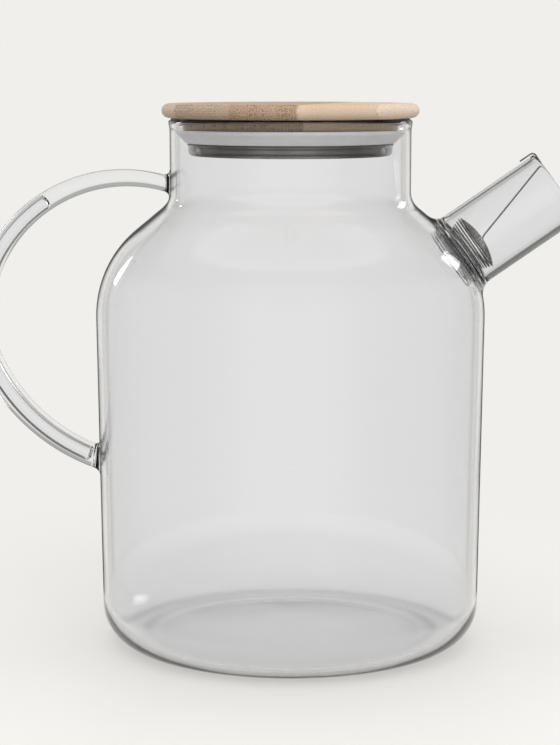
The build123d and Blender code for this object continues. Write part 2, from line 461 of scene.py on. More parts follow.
class WallSide:
    """Outer or inner skin of the wall between two lengths on the outline."""

    def __init__(self, outline, start, end):
        self.outline = outline
        step = (end - start) / chart_samples
        rows = []
        for index in range(chart_samples + 1):
            length = start + step * index
            radius, height = outline.point(length)
            rows.append((height, length, radius))
        self.heights, self.lengths, self.radii = zip(*sorted(rows))

    def at(self, angle, length):
        radius, height = self.outline.point(length)
        return polar(radius, angle, height)

    def chart(self, point):
        angle = math.atan2(point.y, point.x)
        return angle, between(self.heights, self.lengths, point.z)

    def is_outside(self, point):
        return math.hypot(point.x, point.y) > between(self.heights, self.radii, point.z)


# %% A tube, and the way to its foot on the wall
class Tube:
    """Round tube whose path lies in the plane y = 0."""

    def __init__(self, path, radius):
        self.path = path
        self.radius = radius

    def point(self, distance, turn, radius=None):
        centre, across = self.path(distance)
        arm = across * math.cos(turn) + Vector((0, math.sin(turn), 0))
        return centre + arm * (self.radius(distance) if radius is None else radius)

    def foot(self, side, inside, outside, turn, radius=None):
        """Distance at which one of the tube's lines crosses the wall's skin."""
        def is_outside(distance):
            return side.is_outside(self.point(distance, turn, radius))
        return crossing(inside, outside, is_outside)


def turned_back(angle):
    """The same angle between minus half a turn and half a turn."""
    return (angle + math.pi) % (2 * math.pi) - math.pi


# %% Weaving a tube's joint
weld_unevenness = 0.25
weld_waves = 1.5
turn_samples = 360
tangent_step = 0.1
fillet_pull = 0.6


def curve_point(curve, share):
    """Point on a cubic curve through its first and last control points."""
    a, b, c, d = curve
    rest = 1 - share
    return a * rest ** 3 + b * 3 * rest ** 2 * share + c * 3 * rest * share ** 2 + d * share ** 3


class Weld:
    """Rings that lead from a gap in the wall's quads on to a tube."""

    def __init__(self, side, tube, inside, outside, spread):
        self.side, self.tube = side, tube
        self.inside, self.outside, self.spread = inside, outside, spread
        axis_foot = tube.foot(side, inside, outside, 0.0, 0.0)
        self.centre = side.chart(tube.point(axis_foot, 0.0, 0.0))
        self.scale = side.outline.point(self.centre[1])[0]
        self.way = 1.0 if outside > inside else -1.0

    def flat(self, point):
        """A point on the wall, unrolled flat and measured from the tube's axis."""
        angle, length = self.side.chart(point)
        around = turned_back(angle - self.centre[0]) * self.scale
        return Vector((around, length - self.centre[1]))

    def on_wall(self, place):
        angle = self.centre[0] + place.x / self.scale
        return self.side.at(angle, self.centre[1] + place.y)

    def foot(self, turn):
        return self.tube.foot(self.side, self.inside, self.outside, turn)

    def match_turns(self):
        """Bearings on the wall against turns round the tube, both rising."""
        turns = even_turns(turn_samples)
        seen = []
        for turn in turns:
            place = self.flat(self.tube.point(self.foot(turn), turn))
            seen.append(math.atan2(place.y, place.x))
        rising = turned_back(seen[1] - seen[0]) > 0
        bearings = [0.0]
        for before, after in zip(seen, seen[1:] + seen[:1]):
            bearings.append(bearings[-1] + abs(turned_back(after - before)))
        scale = 2 * math.pi / bearings[-1]
        return seen[0], rising, [bearing * scale for bearing in bearings], turns + [2 * math.pi]

    def weave(self, mesh, gap_edge, wall_rings, fillet_rings):
        """Join the gap's edge to the tube, and give its last ring, turns and distances."""
        start, rising, bearings, turns = self.match_turns()
        spokes = []
        for vertex in gap_edge:
            place = self.flat(vertex.co)
            bearing = math.atan2(place.y, place.x)
            swept = (bearing - start if rising else start - bearing) % (2 * math.pi)
            spokes.append((between(bearings, turns, swept), vertex, place))
        spokes.sort(key=lambda spoke: spoke[0])
        spokes = [self.shape_spoke(*spoke) for spoke in spokes]
        ring = [spoke["vertex"] for spoke in spokes]
        for share in shares(wall_rings):
            places = [spoke["start"].lerp(spoke["edge"], share) for spoke in spokes]
            ring = next_ring(mesh, ring, [self.on_wall(place) for place in places])
        for share in shares(fillet_rings):
            ring = next_ring(mesh, ring, [curve_point(spoke["curve"], share) for spoke in spokes])
        return [ring] + [[spoke[key] for spoke in spokes] for key in ("turn", "distance")]

    def shape_spoke(self, turn, vertex, start):
        """Where one spoke leaves the wall, and the curve that carries it on to the tube."""
        around = Vector((math.cos(turn), math.sin(turn), self.scale / wall))
        spread = self.spread * (1 + weld_unevenness * noise.noise(around * weld_waves))
        reach = self.foot(turn)
        foot = self.flat(self.tube.point(reach, turn))
        edge = foot + (start - foot).normalized() * spread
        low = self.on_wall(edge)
        inwards = (self.on_wall(edge.lerp(foot, tangent_step)) - low).normalized()
        distance = reach + self.way * spread
        high = self.tube.point(distance, turn)
        nudge = self.way * spread * tangent_step
        onwards = (self.tube.point(distance + nudge, turn) - high).normalized()
        pull = spread * fillet_pull
        curve = (low, low + inwards * pull, high - onwards * pull, high)
        return {
            "vertex": vertex, "start": start, "edge": edge, "curve": curve, "turn": turn,
            "distance": distance,
        }


# %% [markdown]
# ## The spout and the handle
#
# The spout is a straight tube. The handle follows three arcs that run on into each
# other, and it is drawn thinner towards the neck, as a pulled glass rod is.

# %% Path of the spout
spout_angle = math.radians(34.7)
spout_axis_z = 0.09135
spout_r = 0.013
spout_wall = 0.0018
spout_reach = 0.1064
spout_flare = 0.00035
spout_flare_length = 0.003


def spout_path(distance):
    along = Vector((math.cos(spout_angle), 0, math.sin(spout_angle)))
    across = Vector((-math.sin(spout_angle), 0, math.cos(spout_angle)))
    return Vector((0, 0, spout_axis_z)) + along * distance, across


def spout_radius(inset):
    """Radius of the spout's skin, which flares a little at the lip."""
    def radius(distance):
        past = max(0.0, distance - spout_reach + spout_flare_length) / spout_flare_length
        return spout_r - inset + spout_flare * past * past
    return radius


spout_outside = Tube(spout_path, spout_radius(0.0))
spout_inside = Tube(spout_path, spout_radius(spout_wall))
print(f"spout: {spout_r * 2000:.1f} mm wide, its lip {spout_reach * 1000:.1f} mm up its axis")

# %% Path of the handle
handle_start = Vector((-0.0376, 0, 0.1521))
handle_heading = 160.0
handle_arcs = [(0.0486, 95.0), (0.0382, 42.0), (0.062, 47.5)]
handle_neck_r = 0.00265
handle_body_r = 0.0039
handle_full_from = 0.65
handle_length = sum(radius * math.radians(turn) for radius, turn in handle_arcs)


def handle_path(distance):
    """Centre of the handle and the direction towards the outside of its bend."""
    at, heading = handle_start.copy(), math.radians(handle_heading)
    for radius, turn in handle_arcs:
        way = Vector((math.cos(heading), 0, math.sin(heading)))
        inwards = Vector((-way.z, 0, way.x))
        length = radius * math.radians(turn)
        ends_here = distance < length or (radius, turn) == handle_arcs[-1]
        swung = distance / radius if ends_here else math.radians(turn)
        arm = way * math.sin(swung) - inwards * math.cos(swung)
        at += (inwards + arm) * radius
        if ends_here:
            return at, arm
        heading += swung
        distance -= length


def handle_radius(distance):
    share = min(max(distance / handle_length / handle_full_from, 0.0), 1.0)
    return handle_neck_r + (handle_body_r - handle_neck_r) * share


handle_tube = Tube(handle_path, handle_radius)
print(f"handle: {handle_length * 1000:.1f} mm along its middle")

# %% [markdown]
# ## Weaving it all into one skin
#
# The body is turned first, with a block of quads left out at each joint: one
# outside and one inside for the spout, and one at each end of the handle. Then the
# welds are woven in, the tubes are laid between them, and the spout's outer and
# inner skins meet in a lip that is round, as it is where a flame has melted it.

# %% Where each tube meets the wall
spout_weld_spread = 0.0033
spout_bore_spread = 0.0013
handle_weld_spread = 0.0023
past_joint = 0.02
before_joint = 0.003
spout_search = (0.03, 0.09)
chart_low_z, chart_high_z = 0.02, 0.168
under_foot = 0.05
lip_width = 0.003


def wall_side(low, high):
    """Chart of the wall from a low to a high length, where it rises steadily."""
    ends = []
    for limit in (chart_low_z, chart_high_z):
        ends.append(crossing(low, high, lambda length: jug_outline.point(length)[1] > limit))
    return WallSide(jug_outline, *sorted(ends))


lip_length = max(jug_outline.starts, key=lambda length: jug_outline.point(length)[1])
outer_side = wall_side(under_foot, lip_length)
inner_side = wall_side(jug_outline.length - under_foot, lip_length + lip_width)
top_search = (-before_joint, past_joint)
foot_search = (handle_length + before_joint, handle_length - past_joint)
welds = {
    "spout": Weld(outer_side, spout_outside, *spout_search, spout_weld_spread),
    "bore": Weld(inner_side, spout_inside, *spout_search, spout_bore_spread),
    "handle top": Weld(outer_side, handle_tube, *top_search, handle_weld_spread),
    "handle foot": Weld(outer_side, handle_tube, *foot_search, handle_weld_spread),
}
for name, weld in welds.items():
    angle, length = weld.centre
    height = jug_outline.point(length)[1]
    print(f"{name}: {math.degrees(angle):.0f} degrees round, {height * 1000:.1f} mm up")

# %% Gaps in the wall's quads
body_columns = 192
body_spacing = 0.0017
gap_sizes = {"spout": (26, 24), "bore": (26, 24), "handle top": (12, 10), "handle foot": (10, 12)}


def leave_gap(lengths, centre, columns, rows):
    """Rows and columns of the wall's quads to leave out round a joint."""
    first_column = round(centre[0] * body_columns / (2 * math.pi)) - columns // 2
    nearest = min(range(len(lengths)), key=lambda row: abs(lengths[row] - centre[1]))
    first_row = nearest - rows // 2
    return range(first_row, first_row + rows), range(first_column, first_column + columns)


def gap_edge(rings, rows, columns):
    """Vertices along the edge of a gap."""
    return {
        rings[row][column % body_columns]
        for row in (*rows, rows.stop) for column in (*columns, columns.stop)
        if row in (rows.start, rows.stop) or column in (columns.start, columns.stop)
    }


# %% Weave in the spout and the handle
tube_spacing = 0.0013
handle_spacing = 0.0007
lip_steps = 10


def lay_tube(mesh, tube, start, end, spacing):
    """Rings along a tube from one ring to the place of another, easing turns and distances."""
    ring, *places = start
    longest = max(abs(b - a) for a, b in zip(places[1], end[1]))
    for share in shares(max(2, math.ceil(longest / spacing))):
        eased = [
            [a + (b - a) * share for a, b in zip(first, last)]
            for first, last in zip(places, end)
        ]
        points = [tube.point(distance, turn) for turn, distance in zip(*eased)]
        ring = next_ring(mesh, ring, points)
    return ring


def weave_spout(mesh, outer_gap, inner_gap):
    """Outer weld, outer skin, round lip, bore and inner weld of the spout."""
    round_r = spout_wall / 2
    lip_start = spout_reach - round_r
    outer = welds["spout"].weave(mesh, outer_gap, wall_rings=5, fillet_rings=7)
    inner = welds["bore"].weave(mesh, inner_gap, wall_rings=5, fillet_rings=5)
    turns = even_turns(len(outer[0]))
    lip = [turns, [lip_start] * len(turns)]
    ring = lay_tube(mesh, spout_outside, outer, lip, tube_spacing)
    middle_r = spout_inside.radius(lip_start) + round_r
    for share in shares(lip_steps):
        distance = lip_start + round_r * math.sin(math.pi * share)
        radius = middle_r + round_r * math.cos(math.pi * share)
        points = [spout_inside.point(distance, turn, radius) for turn in turns]
        ring = next_ring(mesh, ring, points)
    ring = lay_tube(mesh, spout_inside, [ring] + lip, inner[1:], tube_spacing)
    join_rings(mesh, ring, inner[0])


def weave_handle(mesh, top_gap, foot_gap):
    """Both welds of the handle and the rod between them."""
    top = welds["handle top"].weave(mesh, top_gap, wall_rings=4, fillet_rings=6)
    foot = welds["handle foot"].weave(mesh, foot_gap, wall_rings=4, fillet_rings=6)
    ring = lay_tube(mesh, handle_tube, top, foot[1:], handle_spacing)
    join_rings(mesh, ring, foot[0])


# %% The whole skin
def jug_skin():
    """One closed mesh of the vessel, the spout and the handle."""
    mesh = bmesh.new()
    rings, lengths = turned_rings(mesh, jug_outline, body_spacing, body_columns)
    gaps = {
        name: leave_gap(lengths, welds[name].centre, *size) for name, size in gap_sizes.items()
    }
    for row, (first, second) in enumerate(zip(rings, rings[1:])):
        skipped = set()
        for rows, columns in gaps.values():
            if row in rows:
                skipped |= {column % body_columns for column in columns}
        join_rings(mesh, first, second, skipped)
    edges = {name: gap_edge(rings, *gap) for name, gap in gaps.items()}
    weave_spout(mesh, edges["spout"], edges["bore"])
    weave_handle(mesh, edges["handle top"], edges["handle foot"])
    face_outwards(mesh)
    return mesh


# %% [markdown]
# ## The hollow in the handle
#
# The handle starts at the neck as a solid rod and goes on as a tube, closed at
# both ends: a long bubble. To light, a bubble in glass is a surface that faces
# the other way, so its rings are closed into a mesh of their own whose faces point
# into the bubble.

# %% Add the bubble and finish the glass
bubble_r = 0.00175
bubble_span = (0.285, 0.945)
bubble_sides = 60
bubble_end_steps = 12


def add_bubble(mesh):
    """Round-ended hollow along the handle, its faces turned inwards."""
    start, end = (share * handle_length for share in bubble_span)
    swings = [math.pi / 2 * share for share in shares(bubble_end_steps)]
    places = [(start - bubble_r * math.cos(s), bubble_r * math.sin(s)) for s in swings]
    along = shares(math.ceil((end - start) / handle_spacing))[:-1]
    places += [(start + (end - start) * share, bubble_r) for share in along]
    places += [(end + bubble_r * math.cos(s), bubble_r * math.sin(s)) for s in reversed(swings)]
    ring = [mesh.verts.new(handle_tube.point(start - bubble_r, 0, 0))]
    first_new = len(mesh.faces)
    turns = even_turns(bubble_sides)
    for distance, radius in places:
        ring = next_ring(mesh, ring, [handle_tube.point(distance, turn, radius) for turn in turns])
    tip = [mesh.verts.new(handle_tube.point(end + bubble_r, 0, 0))]
    join_rings(mesh, ring, tip)
    mesh.faces.ensure_lookup_table()
    bubble = mesh.faces[first_new:]
    bmesh.ops.recalc_face_normals(mesh, faces=bubble)
    bmesh.ops.reverse_faces(mesh, faces=bubble)
    for face in bubble:
        face.smooth = True


glass_mesh = jug_skin()
add_bubble(glass_mesh)
glass_millilitres = glass_mesh.calc_volume() * 1e6
print(f"glass: {len(glass_mesh.verts)} vertices, {glass_millilitres:.1f} millilitres")

# %% [markdown]
# ## Clear glass
#
# The Principled shader with full transmission bends light as borosilicate glass
# does. Its faint cool tint is laid on wherever light passes a surface, so it builds
# up along the rim and the edges, where light passes many. Real blown glass is never
# quite even, so a very faint, wide bump lets reflections swim a little.
#
# Lamps can't be aimed through a bending surface, so anything behind glass would
# render grainy and too dark. For the rays that only ask whether a lamp is in sight,
# the glass is swapped for a nearly clear Transparent shader. What stays of the
# shadow is the light that a real jug keeps back.

# %% Material of the glass
glass_tint = (0.956, 0.960, 0.978, 1)
glass_shadow = (0.99, 0.99, 0.99, 1)


def clear_glass():
    material, place, shader = new_material(
        "clear_glass", Base_Color=glass_tint, Transmission_Weight=1.0, Roughness=0.0, IOR=1.47,
    )
    feed(shader, "Normal", bump(cloud(place, 28.0, 1.0), 0.05, 0.002))
    solid = Field(material.node_tree, shader.outputs["BSDF"])
    clear = place.node("ShaderNodeBsdfTransparent", None, {"Color": glass_shadow})
    show(material, light_path(place, "Is Shadow Ray").mix_shaders(solid, clear))
    return material


finish_piece(
    glass_mesh, "blown_glass", "jug", clear_glass(), ["vessel", "spout", "handle"],
)

# %% [markdown]
# ## Bamboo, glued up and turned
#
# Bamboo is bundles of dark fibre in pale tissue. Cut across, the bundles show as
# dots; cut along, as long streaks. Both come from one pattern in space: cells
# drawn out a hundredfold along the strip. Wherever the turned edge crosses the
# grain it shows dots, and wherever it runs with the grain it shows streaks,
# without any seam between them.

# %% Material of the bamboo
grain_angle = math.radians(74)
grain_stretch = 0.012
bundle_size = 0.00078
bundle_scatter = 0.6
dot_reach, dot_growth = 0.2, 0.14


def bamboo(name, pale, dark, dots, seed):
    """Bamboo strip of one batch, with its own tone, dots and draw of the grain."""
    material, place, shader = new_material(name, Roughness=0.5, Specular_IOR_Level=0.3)
    turned = {"Vector": place, "Rotation": (0, 0, -grain_angle)}
    strip = place.node("ShaderNodeMapping", None, turned)
    draw = (seed, seed * 0.7, seed * 0.3)
    drawn_out = {"Vector": strip, "Scale": (grain_stretch, 1, 1), "Location": draw}
    along = place.node("ShaderNodeMapping", None, drawn_out)
    across, up = coordinate(along, 1), coordinate(along, 2)
    section = place.node("ShaderNodeCombineXYZ", None, {0: across, 1: up})
    cells = {"Vector": section, "Scale": 1 / bundle_size, "Randomness": bundle_scatter}
    from_middle = place.node("ShaderNodeTexVoronoi", {"voronoi_dimensions": "2D"}, cells)
    reach = cloud(along, 300.0).between(0.25, 0.75) * dot_growth + dot_reach
    bundle = 1 - (from_middle / reach).between(0.7, 1.35)
    fine, broad = cloud(along, 2600.0, 3.0), cloud(along, 90.0)
    tone = broad.between(0.3, 0.7) * 0.3 + fine.between(0.35, 0.65) * 0.2
    middle = tuple((a + b) / 2 for a, b in zip(pale, dark))
    feed(shader, "Base Color", (bundle * dots).mix(tone.mix(pale, middle), dark))
    feed(shader, "Roughness", fine * 0.2 + 0.42)
    feed(shader, "Normal", bump(fine * 0.4 - bundle * dots * 0.5, 0.25, 0.0002))
    return material


# %% [markdown]
# The lid is turned from one blank of five edge-glued strips: a disc with a round
# edge, a plug, and a groove for the seal. So the blank is turned here too and then
# parted along the glue lines, each strip closed with its own glue face.

# %% Turn the blank
lid_r = 0.0418
lid_top_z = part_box("lid_strip_3")[1].z
lid_under_z = 0.1747
lid_edge_inset = 0.0022
plug_r = 0.0352
plug_low_r = 0.033
groove_r = 0.0306
groove_low_z, groove_high_z = 0.1664, 0.1712
plug_bottom_z = 0.1629
lid_spacing = 0.0012
lid_columns = 320
edge_fit = 0.985


def lid_outline():
    """Outline of the turned blank, from the middle of its top round to the plug's foot."""
    half = (lid_top_z - lid_under_z) / 2
    edge_r = (half ** 2 + lid_edge_inset ** 2) / (2 * lid_edge_inset)
    far = lid_r - edge_r + edge_r ** 2 / (edge_r - lid_edge_inset)
    corners = [
        (0, lid_top_z), (lid_r - lid_edge_inset, lid_top_z), (far, lid_under_z + half),
        (lid_r - lid_edge_inset, lid_under_z), (plug_r, lid_under_z), (plug_r, groove_high_z),
        (groove_r, groove_high_z), (groove_r, groove_low_z), (plug_low_r, groove_low_z),
        (plug_low_r, plug_bottom_z), (0, plug_bottom_z),
    ]
    radii = [0.0, edge_r * edge_fit, 0.0, 0.0003, 0.0004, 0.0003, 0.0003, 0.0003, 0.001]
    return Outline(corners, radii)


blank = turned_mesh(lid_outline(), lid_spacing, lid_columns)
print(f"blank: {len(blank.faces)} faces, {blank.calc_volume() * 1e6:.1f} millilitres of bamboo")

# %% Part the blank into strips
glue_offsets = [-0.0347, -0.0132, 0.0083, 0.0298]
cut_tolerance = 1e-7


def part_blank(blank, low, high):
    """The strip of the blank between two glue lines, closed by flat glue faces."""
    mesh = blank.copy()
    across = Vector((-math.sin(grain_angle), math.cos(grain_angle), 0))
    for offset, way in ((low, -1), (high, 1)):
        if offset is None:
            continue
        geometry = mesh.verts[:] + mesh.edges[:] + mesh.faces[:]
        cut = bmesh.ops.bisect_plane(
            mesh, geom=geometry, dist=cut_tolerance, plane_co=across * offset,
            plane_no=across * way, clear_outer=True,
        )
        rim = [item for item in cut["geom_cut"] if isinstance(item, bmesh.types.BMEdge)]
        filled = bmesh.ops.triangle_fill(mesh, use_beauty=True, edges=rim)
        for item in filled["geom"]:
            if isinstance(item, bmesh.types.BMFace):
                item.smooth = False
    bmesh.ops.recalc_face_normals(mesh, faces=mesh.faces[:])
    return mesh


strip_looks = [
    ((0.76, 0.62, 0.49, 1), (0.50, 0.36, 0.25, 1), 0.35),
    ((0.66, 0.515, 0.38, 1), (0.42, 0.28, 0.17, 1), 0.3),
    ((0.47, 0.335, 0.225, 1), (0.18, 0.105, 0.06, 1), 0.75),
    ((0.50, 0.38, 0.28, 1), (0.22, 0.135, 0.085, 1), 0.8),
    ((0.59, 0.47, 0.36, 1), (0.32, 0.21, 0.14, 1), 0.7),
]
seed_step = 0.037
limits = [None] + glue_offsets + [None]
for number, (low, high, looks) in enumerate(zip(limits, limits[1:], strip_looks), start=1):
    material = bamboo(f"bamboo_{number}", *looks, seed=seed_step * number)
    strip, node = part_blank(blank, low, high), f"lid_strip_{number}"
    finish_piece(strip, f"strip_{number}", "lid", material, [node])
blank.free()

# %% [markdown]
# ## The silicone ring
#
# The ring sits in the plug's groove and leans one soft lip out to the glass. It is
# milky: light goes a little way in and comes out again nearby, which is what
# subsurface scattering does.

# %% Ring of milky silicone
seal_r = 0.03765
seal_low_r = 0.0343
seal_lip = 0.0011
seal_clearance = 0.0001
seal_fold_r, seal_fold_depth = 0.0334, 0.003
seal_inner_lip_r = 0.0326
seal_spacing = 0.0006
ring_columns = 256
same_place = 1e-6


def milky_silicone():
    material, place, shader = new_material(
        "milky_silicone", Roughness=0.42, Subsurface_Weight=0.2, Subsurface_Scale=0.004,
    )
    milk = cloud(place, 240.0, 3.0).between(0.3, 0.7)
    feed(shader, "Base Color", milk.mix((0.96, 0.93, 0.93, 1), (0.91, 0.88, 0.87, 1)))
    feed(shader, "Roughness", cloud(place, 3000.0) * 0.15 + 0.36)
    return material


def seal_mesh():
    """The ring, whose outline starts and ends at one place and is welded there."""
    low, high = groove_low_z + seal_clearance, groove_high_z - seal_clearance
    inner = groove_r + seal_clearance
    corners = [
        (inner, (low + high) / 2), (inner, low), (seal_low_r, low), (seal_r, high - seal_lip),
        (seal_r, high), (seal_r - seal_lip, high), (seal_fold_r, high - seal_fold_depth),
        (seal_inner_lip_r, high), (inner, high), (inner, (low + high) / 2),
    ]
    radii = [0.0002, 0.0005, 0.0004, 0.0003, 0.0002, 0.0003, 0.0002, 0.0002]
    mesh = turned_mesh(Outline(corners, radii), seal_spacing, ring_columns)
    bmesh.ops.remove_doubles(mesh, verts=mesh.verts[:], dist=same_place)
    face_outwards(mesh)
    return mesh


finish_piece(seal_mesh(), "seal_ring", "seal", milky_silicone(), ["lid_seal"])

# %% [markdown]
# ## The pressed pan and its nails
#
# A shallow pan of stainless sheet caps the foot of the plug. It was spun against a
# form, so its side carries fine rings, and its edge is turned out into a lip that
# catches the light. The nails hold it on through its side.

# %% Spun steel and the pan
pan_r = 0.0335
pan_gauge = 0.0005
pan_lip = 0.00045
pan_lip_thickness = 0.0004
pan_corner = 0.0016
pan_top_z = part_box("lid_pan")[1].z
pan_bottom_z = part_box("lid_pan")[0].z
pan_spacing = 0.0009


def spun_steel(name, tone, rings, roughness):
    """Stainless steel with fine marks that run round the jug's axis."""
    material, place, shader = new_material(name, Metallic=1.0)
    stretched = {"Vector": place, "Scale": (0.02, 0.02, 1)}
    around = place.node("ShaderNodeMapping", None, stretched)
    marks, stains = cloud(around, rings, 3.0), cloud(place, 150.0)
    worn = tuple(part * 0.8 for part in tone[:3]) + (1,)
    feed(shader, "Base Color", stains.between(0.35, 0.7).mix(tone, worn))
    feed(shader, "Roughness", marks * 0.08 + roughness)
    feed(shader, "Normal", bump(marks, 0.06, 0.00004))
    return material


def pan_mesh():
    inner_r = pan_r - pan_gauge
    inner_corner = pan_corner - pan_gauge
    lip_z = pan_top_z - pan_lip_thickness
    corners = [
        (0, pan_bottom_z), (pan_r, pan_bottom_z), (pan_r, lip_z), (pan_r + pan_lip, lip_z),
        (pan_r + pan_lip, pan_top_z), (inner_r, pan_top_z), (inner_r, plug_bottom_z),
        (0, plug_bottom_z),
    ]
    radii = [pan_corner, 0.0003, 0.00018, 0.00018, 0.00025, inner_corner]
    return turned_mesh(Outline(corners, radii), pan_spacing, ring_columns)


# The pan's steel tone is set far darker than real stainless as painted shade: it stands in for the
# dim room that the pan mirrors.
pan_steel_painted_shade = spun_steel("spun_steel", (0.32, 0.305, 0.285, 1), 5200.0, 0.16)
finish_piece(pan_mesh(), "steel_pan", "lid", pan_steel_painted_shade, ["lid_pan"])

# %% Nails
nail_angles = [math.radians(-30 + 120 * index) for index in range(3)]
nail_z = 0.1645
nail_head_r = 0.0011
nail_head_height = 0.00055
nail_dome_r, nail_dome_height = nail_head_r * 0.72, nail_head_height * 0.86
nail_head_edge = 0.0001
nail_head_sink = 0.0002
nail_shank_r = 0.00045
nail_taper_start, nail_length = 0.004, 0.006
nail_spacing, nail_columns = 0.0002, 24


def nails_mesh():
    """Domed nail heads on the pan's side, each with a short shank in the plug."""
    mesh = bmesh.new()
    corners = [
        (0, nail_head_height), (nail_dome_r, nail_dome_height), (nail_head_r, nail_head_edge),
        (nail_head_r, -nail_head_sink), (nail_shank_r, -nail_head_sink),
        (nail_shank_r, -nail_taper_start), (0, -nail_length),
    ]
    outline = Outline(corners, [0.0008, 0.0003, 0.0001, 0.0001, 0.0001])
    for angle in nail_angles:
        before = len(mesh.verts)
        rings, _ = turned_rings(mesh, outline, nail_spacing, nail_columns)
        for first, second in zip(rings, rings[1:]):
            join_rings(mesh, first, second)
        mesh.verts.ensure_lookup_table()
        place = Matrix.Rotation(angle, 4, "Z") @ Matrix.Translation((pan_r, 0, nail_z))
        place @= Matrix.Rotation(math.pi / 2, 4, "Y")
        bmesh.ops.transform(mesh, matrix=place, verts=mesh.verts[before:])
    face_outwards(mesh)
    return mesh


# The nails' steel tone is made much brighter than the pan's as a painted highlight, so that the
# heads show as bright spots on the dark pan.
nail_steel = spun_steel("nail_steel", (0.93, 0.92, 0.90, 1), 900.0, 0.12)
finish_piece(nails_mesh(), "nails", "lid", nail_steel, ["pan_nails"])

# %% [markdown]
# ## The wire filter
#
# One length of stainless wire is wound into a tube with a domed end, to hold back
# tea leaves. Past the middle of the dome it runs straight up the spout and hooks
# over the lip, so that it can be drawn out again. Its centre line is worked out
# point by point: turns on the tube and dome, a short bridge, and the tail's bends.
# A round skin is then drawn along those points.

# %% Outline of the coil
wire_r = 0.00028
coil_pitch = 0.00106
coil_r = 0.0106
coil_start = 0.0643
coil_dome_start = 0.073
coil_dome_height = 0.0039
coil_corner_r = 0.002
coil_tip_r = 0.0013
coil_corner_fit = 0.9
dome_steps = 24
points_per_turn = 56


def coil_profile():
    """Outline of the coil as (distance from its axis, place along it), from root to tip."""
    rise = coil_dome_height - coil_corner_r
    flat_r = coil_r - coil_corner_r
    dome_r = (flat_r ** 2 + coil_dome_height ** 2 - coil_corner_r ** 2) / (2 * rise)
    apex = coil_dome_start + coil_dome_height
    span = math.asin(flat_r / (dome_r - coil_corner_r))
    tangent_r = dome_r * math.tan(span)
    tangent_z = apex - dome_r + dome_r / math.cos(span)
    shoulder = (coil_r, tangent_z - (coil_r - tangent_r) * math.tan(span))
    dome = []
    for step in range(dome_steps + 1):
        swing = span + (math.asin(coil_tip_r / dome_r) - span) * step / dome_steps
        dome.append((dome_r * math.sin(swing), apex - dome_r + dome_r * math.cos(swing)))
    radii = [coil_corner_r * coil_corner_fit] + [0.0] * dome_steps
    return Outline([(coil_r, coil_start), shoulder] + dome, radii)


def spout_place(along, up, side=0.0):
    """Point in the spout's own frame: along its axis, upwards across it, and sideways."""
    centre, across = spout_path(along)
    return centre + across * up + Vector((0, side, 0))


# %% Centre line of the whole wire
tail_start = 0.0024
tail_rise = math.radians(16.7)
tail_bends = [0.001, 0.0014]
tail_spacing = 0.00035
tail_first_step = 0.0005
bridge_pull = 0.45
bridge_steps = 16
hook_gap = 0.00015
hook_reach = 0.0053


def wire_line():
    """Centre line of the whole wire, from the coil's root to the end of the hook."""
    profile = coil_profile()
    turns = profile.length / coil_pitch
    count = math.ceil(turns * points_per_turn)
    points = []
    for index in range(count + 1):
        radius, along = profile.point(profile.length * index / count)
        swing = 2 * math.pi * turns * index / count
        points.append(spout_place(along, radius * math.cos(swing), radius * math.sin(swing)))
    apex = coil_dome_start + coil_dome_height
    front = spout_reach + hook_gap + wire_r
    over = spout_r + spout_flare + hook_gap + wire_r
    start = (apex + tail_start * math.cos(tail_rise), tail_start * math.sin(tail_rise))
    corner = (front, (front - apex) * math.tan(tail_rise))
    tail = Outline([start, corner, (front, over), (front - hook_reach, over)], tail_bends)
    leave = (points[-1] - points[-2]).normalized()
    meet = spout_place(*tail.point(0))
    onwards = (spout_place(*tail.point(tail_first_step)) - meet).normalized()
    pull = (meet - points[-1]).length * bridge_pull
    bridge = (points[-1], points[-1] + leave * pull, meet - onwards * pull, meet)
    points += [curve_point(bridge, share) for share in shares(bridge_steps)[:-1]]
    points += [spout_place(*tail.point(length)) for length in tail.stations(tail_spacing)]
    return points


wire_points = wire_line()
wire_length = sum((b - a).length for a, b in zip(wire_points, wire_points[1:]))
print(f"wire: {wire_length * 1000:.0f} mm of {wire_r * 2000:.2f} mm wire")

# %% Skin and material of the wire
wire_sides = 12


def wire_mesh(points, radius, sides):
    """Round skin along a line of points, with rounded ends and no twist."""
    mesh = bmesh.new()
    way = (points[1] - points[0]).normalized()
    arm = way.orthogonal().normalized()
    ring = [mesh.verts.new(points[0] - way * radius)]
    befores, afters = points[:1] + points[:-1], points[1:] + points[-1:]
    for before, point, after in zip(befores, points, afters):
        ahead = (after - before).normalized()
        arm = (arm - ahead * arm.dot(ahead)).normalized()
        side = ahead.cross(arm)
        arms = [arm * math.cos(turn) + side * math.sin(turn) for turn in even_turns(sides)]
        ring = next_ring(mesh, ring, [point + arm_out * radius for arm_out in arms])
    join_rings(mesh, ring, [mesh.verts.new(points[-1] + ahead * radius)])
    face_outwards(mesh)
    return mesh


def drawn_wire():
    material, place, shader = new_material("drawn_wire", Metallic=1.0)
    stains = cloud(place, 320.0).between(0.35, 0.7)
    feed(shader, "Base Color", stains.mix((0.46, 0.45, 0.44, 1), (0.33, 0.32, 0.31, 1)))
    feed(shader, "Roughness", cloud(place, 6000.0) * 0.12 + 0.14)
    return material


wire = wire_mesh(wire_points, wire_r, wire_sides)
finish_piece(wire, "wire_filter", "filter", drawn_wire(), ["spout_filter"])

# %% [markdown]
# ## Table and backdrop
#
# Clear glass shows whatever stands behind and around it. What is seen straight
# through the jug is the pale backdrop. Rays that glass or steel has turned back by
# reflection look round the room instead, which is dimmer at the sides, in front
# and below, and has two dark flags behind the jug. The glass's edges turn light
# back most, so that is where the dark lines of glassware are drawn.

# %% The room, as reflections see it
flag_starts = (math.radians(5.5), math.radians(10))
flag_ends = (math.radians(14), math.radians(21))
flag_darkness = 0.9
side_dimness = 0.55
front_dimness = 0.35


